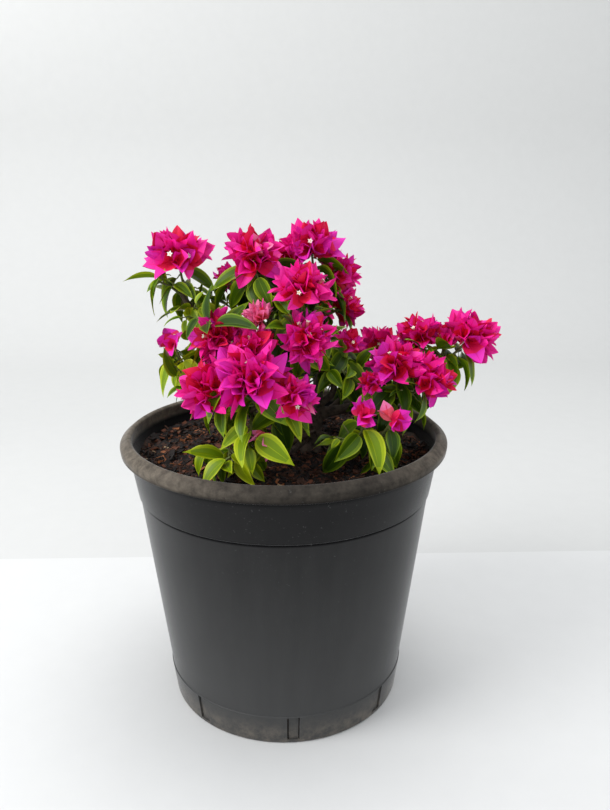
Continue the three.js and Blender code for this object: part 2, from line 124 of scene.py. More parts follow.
def plain_finish(name, colour, roughness, polish=0.5):
    """A material of one plain colour."""
    finish, tree, shader, place = node_material(name)
    shader.inputs["Base Color"].default_value = (*colour, 1)
    shader.inputs["Roughness"].default_value = roughness
    shader.inputs["Specular IOR Level"].default_value = polish
    return finish


def node_material(name):
    """A new material and its node tree, shader and object coordinates."""
    material = bpy.data.materials.new(name)
    material.use_nodes = True
    tree = material.node_tree
    shader = tree.nodes["Principled BSDF"]
    place = tree.nodes.new("ShaderNodeTexCoord").outputs["Object"]
    return material, tree, shader, place


def noise_node(tree, place, scale, detail=4, roughness=0.55, stretch=None):
    """A noise from 0 to 1 over a place, which a stretch scales by its axes first."""
    if stretch:
        mapping = tree.nodes.new("ShaderNodeMapping")
        mapping.inputs["Scale"].default_value = stretch
        tree.links.new(place, mapping.inputs["Vector"])
        place = mapping.outputs["Vector"]
    made = tree.nodes.new("ShaderNodeTexNoise")
    made.inputs["Scale"].default_value = scale
    made.inputs["Detail"].default_value = detail
    made.inputs["Roughness"].default_value = roughness
    tree.links.new(place, made.inputs["Vector"])
    return made.outputs["Fac"]


def ramp_node(tree, value, stops):
    """Remaps a value by (place, value) stops, as greys."""
    made = tree.nodes.new("ShaderNodeValToRGB")
    elements = made.color_ramp.elements
    while len(elements) < len(stops):
        elements.new(0.5)
    for element, (position, grey) in zip(elements, stops):
        element.position = position
        element.color = (grey, grey, grey, 1)
    tree.links.new(value, made.inputs["Fac"])
    return made.outputs["Color"]


def rise_node(tree, value, start, end, last=1.0, smooth=True):
    """Runs from 0 to last while a value runs from start to end."""
    made = tree.nodes.new("ShaderNodeMapRange")
    made.interpolation_type = "SMOOTHSTEP" if smooth else "LINEAR"
    made.inputs["From Min"].default_value = start
    made.inputs["From Max"].default_value = end
    made.inputs["To Max"].default_value = last
    tree.links.new(value, made.inputs["Value"])
    return made.outputs["Result"]


def math_node(tree, operation, one, other):
    made = tree.nodes.new("ShaderNodeMath")
    made.operation = operation
    for socket, value in zip(made.inputs, (one, other)):
        if isinstance(value, (int, float)):
            socket.default_value = value
        else:
            tree.links.new(value, socket)
    return made.outputs["Value"]


def mix_colour(tree, share, one, other):
    """One colour at a share of 0 and the other at 1; each is a tuple or a socket."""
    made = tree.nodes.new("ShaderNodeMix")
    made.data_type = "RGBA"
    tree.links.new(share, made.inputs["Factor"])
    for socket, value in zip((made.inputs[6], made.inputs[7]), (one, other)):
        if isinstance(value, tuple):
            socket.default_value = (*value, 1)
        else:
            tree.links.new(value, socket)
    return made.outputs[2]


def bump_node(tree, shader, height, strength, distance):
    """Relief from a height, up to a distance in metres."""
    made = tree.nodes.new("ShaderNodeBump")
    made.inputs["Strength"].default_value = strength
    made.inputs["Distance"].default_value = distance
    tree.links.new(height, made.inputs["Height"])
    tree.links.new(made.outputs["Normal"], shader.inputs["Normal"])


slot_rows = np.linspace(SLOT_BOTTOM, SLOT_TOP, 5)
outside = rounded([
    (0, 0, 0),
    (90, 0, 0),
    (FOOT_RADIUS - FOOT_CHAMFER, 0, 0.8),
    (FOOT_RADIUS, FOOT_CHAMFER, 0.8),
    *[(foot_radius(z), z, 0) for z in slot_rows],
    (foot_radius(FOOT_TOP - FOOT_PROUD), FOOT_TOP - FOOT_PROUD, 0.15),
    (wall_radius(FOOT_TOP), FOOT_TOP, 0.3),
    *[(wall_radius(z), z, 0) for z in range(50, 200, 30)],
    (NECK_RADIUS, NECK_HEIGHT, 0.2),
    (COLLAR_RADIUS, COLLAR_BOTTOM, 0.35),
    (COLLAR_RADIUS + 3.4, 227.2, 0),
    (COLLAR_TOP_RADIUS, COLLAR_TOP, 0.5),
    (SKIRT_RADIUS, COLLAR_TOP, 0.5),
    (SKIRT_RADIUS, LIP_BOTTOM, 0.4),
    (LIP_RADIUS, LIP_BOTTOM, 1.2),
    (RIM_RADIUS, RIM_SHOULDER, 2.4),
    (CREST_RADIUS, POT_HEIGHT, 1.7),
    (CREST_INNER_RADIUS, POT_HEIGHT - 1.6, 1.7),
    (COLLAR_TOP_RADIUS - WALL, COLLAR_TOP, 4),
    (COLLAR_RADIUS - WALL, COLLAR_BOTTOM, 0.4),
    (NECK_RADIUS - WALL, NECK_HEIGHT, 0.2),
    (wall_radius(120) - WALL, 120, 0),
    *[(foot_radius(z) - FOOT_PROUD - WALL, z, 0) for z in reversed(slot_rows)],
    (wall_radius(POT_FLOOR) - WALL, POT_FLOOR, 0),
    (0, POT_FLOOR, 0),
])
# Columns bunch up at the slots, so that each slot's sides fall on a column.
half_slot = math.asin(SLOT_WIDTH / 2 / FOOT_RADIUS)
sector = [
    *np.linspace(-half_slot, half_slot, 5),
    *np.linspace(half_slot, 2 * math.pi / SLOTS - half_slot, 29)[1:-1],
]
columns = [
    -math.pi / 2 + SLOT_TURN + 2 * math.pi * number / SLOTS + angle
    for number in range(SLOTS)
    for angle in sector
]
first_outer = outside.index((foot_radius(slot_rows[0]), slot_rows[0]))
first_inner = outside.index((foot_radius(slot_rows[-1]) - FOOT_PROUD - WALL, slot_rows[-1]))
pot_points = [(0, 0, 0)]
for radius, height in outside[1:-1]:
    pot_points += [(radius * math.cos(a), radius * math.sin(a), height) for a in columns]
pot_points.append((0, 0, POT_FLOOR))


def pot_corner(row, column):
    if row == 0:
        return 0
    if row == len(outside) - 1:
        return len(pot_points) - 1
    return 1 + (row - 1) * len(columns) + column % len(columns)


def in_slot(row, column):
    in_rows = first_outer <= row < first_outer + 4 or first_inner <= row < first_inner + 4
    return in_rows and column % len(sector) < 4


pot_faces = []
for row in range(len(outside) - 1):
    for column in range(len(columns)):
        if not in_slot(row, column):
            corners = [pot_corner(row, column), pot_corner(row, column + 1),
                       pot_corner(row + 1, column + 1), pot_corner(row + 1, column)]
            pot_faces.append(list(dict.fromkeys(corners)))
for number in range(SLOTS):
    left = number * len(sector)
    for step in range(4):
        for column in (left, left + 4):
            outer, inner = first_outer + step, first_inner + 4 - step
            pot_faces.append([pot_corner(outer, column), pot_corner(outer + 1, column),
                              pot_corner(inner - 1, column), pot_corner(inner, column)])
        for outer, inner in ((first_outer, first_inner + 4), (first_outer + 4, first_inner)):
            pot_faces.append([pot_corner(outer, left + step), pot_corner(outer, left + step + 1),
                              pot_corner(inner, left + step + 1), pot_corner(inner, left + step)])
    middle = -math.pi / 2 + SLOT_TURN + 2 * math.pi * number / SLOTS
    half_web = half_slot - WEB_GAP / FOOT_RADIUS
    first = len(pot_points)
    for height in (SLOT_BOTTOM - 1, SLOT_TOP + 0.6):
        for set_back in (WEB_SET_BACK, WEB_SET_BACK + WEB_THICKNESS):
            for angle in np.linspace(-half_web, half_web, 4):
                radius = foot_radius(height) - set_back
                pot_points.append((radius * math.cos(middle + angle),
                                   radius * math.sin(middle + angle), height))
    for k in range(3):
        low_out, low_in, high_out, high_in = (first + k + 4 * n for n in range(4))
        pot_faces += [
            [low_out, low_out + 1, high_out + 1, high_out],
            [low_in, high_in, high_in + 1, low_in + 1],
            [low_out, low_in, low_in + 1, low_out + 1],
            [high_out, high_out + 1, high_in + 1, high_in],
        ]
    pot_faces.append([first, first + 8, first + 12, first + 4])
    pot_faces.append([first + 3, first + 7, first + 15, first + 11])

plastic, tree, shader, place = node_material("pot_plastic")
height_of = tree.nodes.new("ShaderNodeSeparateXYZ")
tree.links.new(place, height_of.inputs["Vector"])
level = height_of.outputs["Z"]
cloudy = noise_node(tree, place, 26, 5, 0.62)
mottled = noise_node(tree, place, 110, 6, 0.72)
runs = noise_node(tree, place, 60, 4, 0.6, stretch=(1, 1, 0.12))
speckle = noise_node(tree, place, 420, 3, 0.6)

# The rim's dust thins towards its front, so the rim shows darker there.
from_front = tree.nodes.new("ShaderNodeVectorMath")
from_front.operation = "DISTANCE"
from_front.inputs[1].default_value = (0.03, -0.15, 0.255)
tree.links.new(place, from_front.inputs[0])
rim_dust_away_from_front = math_node(tree, "ADD", rise_node(tree, from_front.outputs["Value"], 0.03, 0.17, 0.75), 0.25)
rim_dust = math_node(tree, "MULTIPLY", rise_node(tree, level, 0.244, 0.250), rim_dust_away_from_front)
rim_dust = math_node(tree, "MULTIPLY", rim_dust, ramp_node(tree, mottled, [(0.34, 0.3), (0.7, 0.85)]))
foot_dust = math_node(tree, "MULTIPLY", rise_node(tree, level, 0.032, -0.004),
                      ramp_node(tree, mottled, [(0.4, 0.05), (0.66, 0.6)]))
dust = math_node(tree, "MAXIMUM", rim_dust, foot_dust)
# The film stops about a millimetre under the collar's step, so the bare dark plastic there paints the
# shadow line under the step.
film_and_painted_step_shadow = math_node(tree, "MULTIPLY", ramp_node(tree, runs, [(0.3, 0.55), (0.75, 1)]),
                 rise_node(tree, level, 0.2042, 0.2025, 0.09))
film_and_painted_step_shadow = math_node(tree, "ADD", film_and_painted_step_shadow,
                 rise_node(tree, level, 0.2, 0.02, 0.26, smooth=False))
specks = math_node(tree, "MULTIPLY", ramp_node(tree, speckle, [(0.66, 0), (0.72, 1)]), 0.25)
film_and_painted_step_shadow = math_node(tree, "MAXIMUM", film_and_painted_step_shadow, specks)
shade = mix_colour(tree, cloudy, (0.005, 0.005, 0.0055), (0.011, 0.011, 0.0115))
filmed_and_step_shaded = mix_colour(tree, film_and_painted_step_shadow, shade, (0.150, 0.151, 0.150))
tree.links.new(mix_colour(tree, dust, filmed_and_step_shaded, (0.235, 0.200, 0.160)), shader.inputs["Base Color"])
rough = math_node(tree, "MULTIPLY_ADD", math_node(tree, "MAXIMUM", dust, film_and_painted_step_shadow), 0.35)
rough.node.inputs[2].default_value = 0.38
tree.links.new(rough, shader.inputs["Roughness"])
# Painted shadows: the polish is cut to nothing in a thin band just under the collar's step and from just
# under the rim upward, so that the wall shows dark lines where the rim and the step shade it. The rim
# itself is left without polish too. Heights up to a quarter of a metre fill the ramp.
outside_painted_shadows = ramp_node(tree, math_node(tree, "MULTIPLY", level, 4),
                [(0.0, 1), (0.811, 1), (0.815, 0), (0.822, 0), (0.826, 1), (0.955, 1), (0.976, 0)])
tree.links.new(math_node(tree, "MULTIPLY", outside_painted_shadows, 0.15), shader.inputs["Specular IOR Level"])
shader.inputs["Sheen Weight"].default_value = 0.42
shader.inputs["Sheen Roughness"].default_value = 0.28
grain = noise_node(tree, place, 1500, 2, 0.5)
relief = math_node(tree, "MULTIPLY_ADD", runs, 0.7)
tree.links.new(grain, relief.node.inputs[2])
bump_node(tree, shader, relief, 0.25, 0.0004)

pot = pieces_mesh("nursery_pot", pot_points, pot_faces, [plastic])
faced_outwards(pot)
pot.data.set_sharp_from_angle(angle=math.radians(50))
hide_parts("pot")
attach(pot, "root")

# ---------------------------------------------------------------- Compost
# Composted bark and coir that fills the pot to 25 mm below its rim: one dark, crumbly bed, level where
# the trunk stands and lumpy elsewhere.
SOIL_LEVEL, SOIL_LUMP, SOIL_CLEAR = 235, 4, 0.4
BED_RINGS, BED_SECTORS = 64, 180
TRUNK_FOOT, TRUNK_HEAD, TRUNK_HEIGHT = (24, 6), (30, 1), 48
LEVEL_ROUND_TRUNK = 26


def soil_height(x, y):
    away = math.hypot(x - TRUNK_FOOT[0], y - TRUNK_FOOT[1]) - LEVEL_ROUND_TRUNK
    share = min(max(away / LEVEL_ROUND_TRUNK, 0), 1)
    broad = math.sin(x / 9 + 1) * math.cos(y / 11)
    fine = math.sin(x / 5 - y / 6 + 2)
    return SOIL_LEVEL + SOIL_LUMP * share * (0.6 * broad + 0.4 * fine)


plug = WALL + SOIL_CLEAR
bed_radius = COLLAR_RADIUS - plug + (COLLAR_TOP_RADIUS - COLLAR_RADIUS) * (
    (SOIL_LEVEL - COLLAR_BOTTOM) / (COLLAR_TOP - COLLAR_BOTTOM))
bed_profile = [(wall_radius(POT_FLOOR) - plug - 2, POT_FLOOR + SOIL_CLEAR),
               (wall_radius(34) - plug - 2, 34), (wall_radius(42) - plug, 42),
               (NECK_RADIUS - plug, NECK_HEIGHT), (COLLAR_RADIUS - plug, COLLAR_BOTTOM)]
bed_points = [(0, 0, POT_FLOOR + SOIL_CLEAR)]
around = np.linspace(0, 2 * math.pi, BED_SECTORS, endpoint=False)
for radius, height in bed_profile:
    bed_points += [(radius * math.cos(a), radius * math.sin(a), height) for a in around]
for ring in range(BED_RINGS, 0, -1):
    radius = bed_radius * ring / BED_RINGS
    for a in around:
        x, y = radius * math.cos(a), radius * math.sin(a)
        crumbs = noise.fractal(Vector((x, y, 3)) * 0.16, 1.0, 2.1, 4)
        bed_points.append((x, y, soil_height(x, y) + 1.6 * crumbs * min(1, (BED_RINGS - ring) / 2)))
bed_points.append((0, 0, soil_height(0, 0)))
bed_faces = [[0, 1 + (k + 1) % BED_SECTORS, 1 + k] for k in range(BED_SECTORS)]
for row in range(len(bed_profile) + BED_RINGS - 1):
    for k in range(BED_SECTORS):
        low, onward = 1 + row * BED_SECTORS, (k + 1) % BED_SECTORS
        bed_faces.append([low + k, low + onward, low + BED_SECTORS + onward, low + BED_SECTORS + k])
last = len(bed_points) - 1
bed_faces += [[last - BED_SECTORS + k, last - BED_SECTORS + (k + 1) % BED_SECTORS, last]
              for k in range(BED_SECTORS)]

earth, tree, shader, place = node_material("compost")
crumb = noise_node(tree, place, 320, 5, 0.65)
patch = noise_node(tree, place, 60, 3, 0.5)
dark = mix_colour(tree, patch, (0.012, 0.007, 0.005), (0.034, 0.016, 0.009))
tree.links.new(mix_colour(tree, ramp_node(tree, crumb, [(0.5, 0), (0.72, 1)]), dark,
                          (0.085, 0.036, 0.018)), shader.inputs["Base Color"])
shader.inputs["Roughness"].default_value = 0.85
bump_node(tree, shader, crumb, 0.9, 0.0016)

bed = pieces_mesh("compost_bed", bed_points, bed_faces, [earth])
faced_outwards(bed)

# ---------------------------------------------------------------- Bark chips
# Flakes of composted bark and strands of coir that lie loose on the bed at all angles, most of them
# nearly black with damp, some red-brown, and a few dry and pale.
CHIPS = [
    # name, per square metre, length and width of a chip in metres, linear colour
    ("black", 46000, (0.0085, 0.0045), (0.012, 0.008, 0.007)),
    ("brown", 42000, (0.0080, 0.0036), (0.045, 0.018, 0.010)),
    ("red_brown", 22000, (0.0078, 0.0034), (0.125, 0.040, 0.018)),
    ("orange", 6500, (0.0085, 0.0032), (0.30, 0.105, 0.038)),
    ("strand", 14000, (0.0130, 0.0011), (0.075, 0.034, 0.020)),
    ("pale", 1500, (0.0045, 0.0026), (0.46, 0.33, 0.20)),
]


def chip_tree():
    """Scatters flakes on the upper side of a bed, clear of the pot's wall."""
    made = bpy.data.node_groups.new("scatter_chips", "GeometryNodeTree")
    face = made.interface
    face.new_socket("Bed", in_out="INPUT", socket_type="NodeSocketGeometry")
    for name, kind in (("Per square metre", "NodeSocketFloat"), ("Length", "NodeSocketFloat"),
                       ("Width", "NodeSocketFloat"), ("Bed radius", "NodeSocketFloat"),
                       ("Seed", "NodeSocketInt"), ("Chip", "NodeSocketMaterial")):
        face.new_socket(name, in_out="INPUT", socket_type=kind)
    face.new_socket("Chips", in_out="OUTPUT", socket_type="NodeSocketGeometry")
    nodes, link = made.nodes, made.links.new
    given = nodes.new("NodeGroupInput").outputs
    spread = nodes.new("GeometryNodeDistributePointsOnFaces")
    spot = nodes.new("ShaderNodeSeparateXYZ")
    link(nodes.new("GeometryNodeInputPosition").outputs["Position"], spot.inputs["Vector"])
    away = nodes.new("ShaderNodeVectorMath")
    away.operation = "LENGTH"
    flat = nodes.new("ShaderNodeCombineXYZ")
    link(spot.outputs["X"], flat.inputs["X"])
    link(spot.outputs["Y"], flat.inputs["Y"])
    link(flat.outputs["Vector"], away.inputs[0])
    is_inside = nodes.new("ShaderNodeMath")
    is_inside.operation = "LESS_THAN"
    link(away.outputs["Value"], is_inside.inputs[0])
    link(given["Bed radius"], is_inside.inputs[1])
    tilt = nodes.new("ShaderNodeSeparateXYZ")
    link(nodes.new("GeometryNodeInputNormal").outputs["Normal"], tilt.inputs["Vector"])
    is_up = nodes.new("ShaderNodeMath")
    is_up.operation = "GREATER_THAN"
    is_up.inputs[1].default_value = 0.2
    link(tilt.outputs["Z"], is_up.inputs[0])
    both = nodes.new("ShaderNodeMath")
    both.operation = "MULTIPLY"
    link(is_inside.outputs["Value"], both.inputs[0])
    link(is_up.outputs["Value"], both.inputs[1])
    link(given["Bed"], spread.inputs["Mesh"])
    link(both.outputs["Value"], spread.inputs["Selection"])
    link(given["Per square metre"], spread.inputs["Density"])
    link(given["Seed"], spread.inputs["Seed"])

    flake = nodes.new("GeometryNodeMeshCube")
    flake.inputs["Vertices X"].default_value = 3
    size = nodes.new("ShaderNodeCombineXYZ")
    link(given["Length"], size.inputs["X"])
    link(given["Width"], size.inputs["Y"])
    thickness = nodes.new("ShaderNodeMath")
    thickness.operation = "MULTIPLY"
    thickness.inputs[1].default_value = 0.35
    link(given["Width"], thickness.inputs[0])
    link(thickness.outputs["Value"], size.inputs["Z"])
    link(size.outputs["Vector"], flake.inputs["Size"])

    lay = nodes.new("GeometryNodeInstanceOnPoints")
    turn = nodes.new("FunctionNodeRandomValue")
    turn.data_type = "FLOAT_VECTOR"
    turn.inputs["Min"].default_value = (-0.55, -0.5, -math.pi)
    turn.inputs["Max"].default_value = (0.55, 0.5, math.pi)
    grow = nodes.new("FunctionNodeRandomValue")
    grow.data_type = "FLOAT_VECTOR"
    grow.inputs["Min"].default_value = (0.45, 0.45, 0.5)
    grow.inputs["Max"].default_value = (1.55, 1.5, 1.4)
    for source in (turn, grow):
        link(given["Seed"], source.inputs["Seed"])
    link(spread.outputs["Points"], lay.inputs["Points"])
    link(flake.outputs["Mesh"], lay.inputs["Instance"])
    link(turn.outputs["Value"], lay.inputs["Rotation"])
    link(grow.outputs["Value"], lay.inputs["Scale"])

    loose = nodes.new("GeometryNodeRealizeInstances")
    link(lay.outputs["Instances"], loose.inputs["Geometry"])
    ragged = nodes.new("ShaderNodeTexNoise")
    ragged.inputs["Scale"].default_value = 330
    centred = nodes.new("ShaderNodeVectorMath")
    centred.operation = "SUBTRACT"
    centred.inputs[1].default_value = (0.5, 0.5, 0.5)
    link(ragged.outputs["Color"], centred.inputs[0])
    amount = nodes.new("ShaderNodeVectorMath")
    amount.operation = "SCALE"
    link(centred.outputs["Vector"], amount.inputs[0])
    link(given["Width"], amount.inputs["Scale"])
    break_up = nodes.new("GeometryNodeSetPosition")
    link(loose.outputs["Geometry"], break_up.inputs["Geometry"])
    link(amount.outputs["Vector"], break_up.inputs["Offset"])
    paint = nodes.new("GeometryNodeSetMaterial")
    link(break_up.outputs["Geometry"], paint.inputs["Geometry"])
    link(given["Chip"], paint.inputs["Material"])
    link(paint.outputs["Geometry"], nodes.new("NodeGroupOutput").inputs["Chips"])
    return made


chips = chip_tree()
inputs_of_chips = {item.name: item.identifier for item in chips.interface.items_tree
                   if item.in_out == "INPUT"}
for number, (name, density, (length, width), colour) in enumerate(CHIPS):
    finish = plain_finish(f"bark_chip_{name}", colour, 0.8, 0.35)
    bed_copy = bpy.data.objects.new("chip_source", bed.data)
    bpy.context.collection.objects.link(bed_copy)
    scatter = bed_copy.modifiers.new("scatter", "NODES")
    scatter.node_group = chips
    for key, value in (("Per square metre", float(density)), ("Length", length), ("Width", width),
                       ("Bed radius", (bed_radius - 6) * MM), ("Seed", 40 + number), ("Chip", finish)):
        scatter[inputs_of_chips[key]] = value
    bpy.context.view_layer.update()
    grown = bed_copy.evaluated_get(bpy.context.evaluated_depsgraph_get())
    flakes = bpy.data.meshes.new_from_object(grown)
    bpy.data.objects.remove(bed_copy)
    layer = bpy.data.objects.new(f"chips_{name}", flakes)
    bpy.context.collection.objects.link(layer)
    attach(layer, "root")

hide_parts("soil")
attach(bed, "root")

# ---------------------------------------------------------------- Trunk and boughs
# One short woody trunk that flares where it enters the compost, and the boughs that fork from it.
# The bark is thin, grey-brown and ridged lengthwise; every bough starts in a small collar.
TRUNK_FOOT_RADIUS, TRUNK_RADIUS, TRUNK_TOP_RADIUS = 15, 10, 8.5
FLARE_HEIGHT, ROOTS, ROOT_SWELL, SUNK = 12, 5, 0.14, 3
GAP = 0.3
UP = np.array([0.0, 0.0, 1.0])
BOUGHS = {
    # name: parent, share of the parent's length, tip, bow at the middle, first and last radius
    "top_left": ("trunk", 0.72, (-75, -4, 358), (-18, 4, -24), (5.2, 3)),
    "left_low": ("top_left", 0.55, (-66, -22, 306), (0, -4, -3), (3.2, 2.4)),
    "centre": ("trunk", 0.86, (12, -26, 342), (-4, -6, 0), (5.4, 3.2)),
    "top_centre": ("centre", 0.45, (-16, -8, 376), (-5, 6, -6), (3.6, 2.8)),
    "top_right": ("trunk", 0.97, (26, 22, 356), (5, 6, 0), (5.4, 3.2)),
    "front": ("trunk", 0.5, (-18, -50, 282), (2, -6, -3), (4.8, 3)),
    "left_centre": ("top_left", 0.3, (-46, -30, 338), (0, -6, -4), (3.4, 2.6)),
    "low_left": ("trunk", 0.3, (-28, -62, 252), (4, -8, -5), (3.4, 2.4)),
    "inner_right": ("trunk", 0.88, (46, -8, 308), (6, 0, -2), (3.6, 2.6)),
    "right": ("trunk", 0.7, (118, 4, 304), (0, 4, -8), (5.4, 3.2)),
    "right_front": ("right", 0.42, (82, -20, 290), (2, 2, -3), (3.4, 2.6)),
    "low_right": ("trunk", 0.4, (54, -46, 262), (4, -2, -5), (3.6, 2.4)),
    "back_left": ("trunk", 0.55, (-34, 38, 292), (-4, 4, -7), (4.4, 2.8)),
    "back_high": ("top_right", 0.4, (14, 52, 340), (-2, 6, -5), (3.8, 2.8)),
    "back_low": ("trunk", 0.45, (10, 56, 272), (-2, 4, -6), (4.2, 2.8)),
    "back_right": ("trunk", 0.6, (64, 36, 286), (2, 6, -5), (4.2, 2.8)),
}


def unit(vector):
    return vector / np.linalg.norm(vector)


def mix(first, last, share):
    return first + (last - first) * share


class Line:
    """A smooth line through points, read by shares of its length."""

    def __init__(self, points, bezier=False):
        points = [np.asarray(point, float) for point in points]
        if bezier:
            first, middle, last = points
            dense = [(1 - t) ** 2 * first + 2 * t * (1 - t) * middle + t * t * last
                     for t in np.linspace(0, 1, 60)]
        else:
            ends = [2 * points[0] - points[1], *points, 2 * points[-1] - points[-2]]
            dense = [points[0]]
            for before, here, there, after in zip(ends, ends[1:], ends[2:], ends[3:]):
                d0, d1, d2 = (math.sqrt(np.linalg.norm(b - a))
                              for a, b in ((before, here), (here, there), (there, after)))
                leave = ((here - before) / d0 - (there - before) / (d0 + d1) + (there - here) / d1) * d1
                arrive = ((there - here) / d1 - (after - here) / (d1 + d2) + (after - there) / d2) * d1
                for t in np.linspace(0, 1, 25)[1:]:
                    dense.append(here + leave * t
                                 + (-3 * here + 3 * there - 2 * leave - arrive) * t ** 2
                                 + (2 * here - 2 * there + leave + arrive) * t ** 3)
        self.dense = np.array(dense)
        steps = np.linalg.norm(np.diff(self.dense, axis=0), axis=1)
        self.run = np.concatenate([[0], np.cumsum(steps)])
        self.length = self.run[-1]

    def at(self, share):
        return np.array([np.interp(share * self.length, self.run, self.dense[:, k]) for k in range(3)])

    def heading(self, share):
        return unit(self.at(min(share + 0.01, 1)) - self.at(max(share - 0.01, 0)))


def limb(line, rings, sides, radius_at, start=0.0):
    """Corners and faces of a closed limb along a line, its frames carried along without twist."""
    shares = np.linspace(start, 1, rings + 1)
    across = np.cross(line.heading(0), (0.3, 0.9, 0.1))
    corners = []
    for share in shares:
        along = line.heading(max(share, 0))
        across = unit(across - along * np.dot(across, along))
        beside = np.cross(along, across)
        middle = line.at(share) if share >= 0 else line.at(0) + along * share * line.length
        for k in range(sides):
            angle = 2 * math.pi * k / sides
            radius = radius_at(share, angle)
            corners.append(middle + radius * (math.cos(angle) * across + math.sin(angle) * beside))
    corners += [line.at(0) + line.heading(0) * min(start, 0) * line.length, line.at(1)]
    faces = []
    for ring in range(rings):
        for k in range(sides):
            a, b = ring * sides + k, ring * sides + (k + 1) % sides
            faces.append([a, b, b + sides, a + sides])
    foot, head = len(corners) - 2, len(corners) - 1
    faces += [[foot, (k + 1) % sides, k] for k in range(sides)]
    top = rings * sides
    faces += [[head, top + k, top + (k + 1) % sides] for k in range(sides)]
    return corners, faces


class Heap:
    """Corners and faces of many like things, joined into one mesh."""

    def __init__(self):
        self.corners, self.faces, self.kinds = [], [], []

    def add(self, corners, faces, kind=0):
        first = len(self.corners)
        self.corners += list(corners)
        self.faces += [[first + corner for corner in face] for face in faces]
        self.kinds += [kind] * len(faces)


ground = SOIL_LEVEL + GAP
trunk_line = Line([(*TRUNK_FOOT, ground), (*TRUNK_FOOT, ground + TRUNK_HEIGHT / 3),
                   (*TRUNK_HEAD, ground + TRUNK_HEIGHT)], bezier=True)


def trunk_surface(share, angle):
    flare = max(1 - max(share, 0) * TRUNK_HEIGHT / FLARE_HEIGHT, 0) ** 2
    roots = 1 + ROOT_SWELL * flare * math.cos(ROOTS * angle)
    radius = mix(mix(TRUNK_RADIUS, TRUNK_TOP_RADIUS, share), TRUNK_FOOT_RADIUS, flare) * roots
    ridges = noise.noise(Vector((3 * math.cos(angle), 3 * math.sin(angle), share * 4)))
    fissures = noise.noise(Vector((7 * math.cos(angle), 7 * math.sin(angle), share * 9 + 5)))
    closing = math.sqrt(max(1 - (max(share - 0.9, 0) / 0.1) ** 2, 0.02))
    return radius * (1 + 0.06 * ridges - 0.05 * abs(fissures)) * closing


wood = Heap()
wood.add(*limb(trunk_line, 60, 48, trunk_surface, start=-SUNK / TRUNK_HEIGHT))
lines = {"trunk": trunk_line}
for number, (name, (parent, at, tip, bow, (first, last))) in enumerate(BOUGHS.items()):
    start = lines[parent].at(at)
    middle = (start + np.array(tip)) / 2 + np.array(bow)
    lines[name] = Line([start, middle, tip])

    def bough_surface(share, angle):
        collar = 1 + 0.35 * max(1 - share / 0.16, 0) ** 2
        ridge = noise.noise(Vector((2.2 * math.cos(angle), 2.2 * math.sin(angle), share * 9 + number * 7)))
        knot = noise.noise(Vector((0, number * 3, share * 7)))
        return mix(first, last, share) * collar * (1 + 0.1 * ridge + 0.08 * knot)

    wood.add(*limb(lines[name], 56, 16, bough_surface))

bark, tree, shader, place = node_material("bark")
streak = noise_node(tree, place, 180, 5, 0.65)
blotch = noise_node(tree, place, 70, 3, 0.5)
brown = mix_colour(tree, blotch, (0.060, 0.040, 0.028), (0.135, 0.098, 0.068))
tree.links.new(mix_colour(tree, ramp_node(tree, streak, [(0.42, 0), (0.62, 1)]), brown,
                          (0.030, 0.019, 0.013)), shader.inputs["Base Color"])
shader.inputs["Roughness"].default_value = 0.82
bump_node(tree, shader, streak, 0.8, 0.0009)

limbs = pieces_mesh("trunk_and_boughs", wood.corners, wood.faces, [bark])
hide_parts("trunk", *[f"bough_{name}" for name in BOUGHS])
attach(limbs, "root")

# ---------------------------------------------------------------- Twigs
# From each bough's tip grow a stem, stalks that carry the flower heads, leafy shoots and, from those,
# fine side twigs. Old twigs are brown and the youngest are green. One old dry branch lies low in front.
REACH_OUT = 1.18
STEM_TIP, TWIG_RADIUS, TWIG_TIP = 2.4, 1.5, 1.0
GOLDEN_ANGLE = math.radians(137.5)
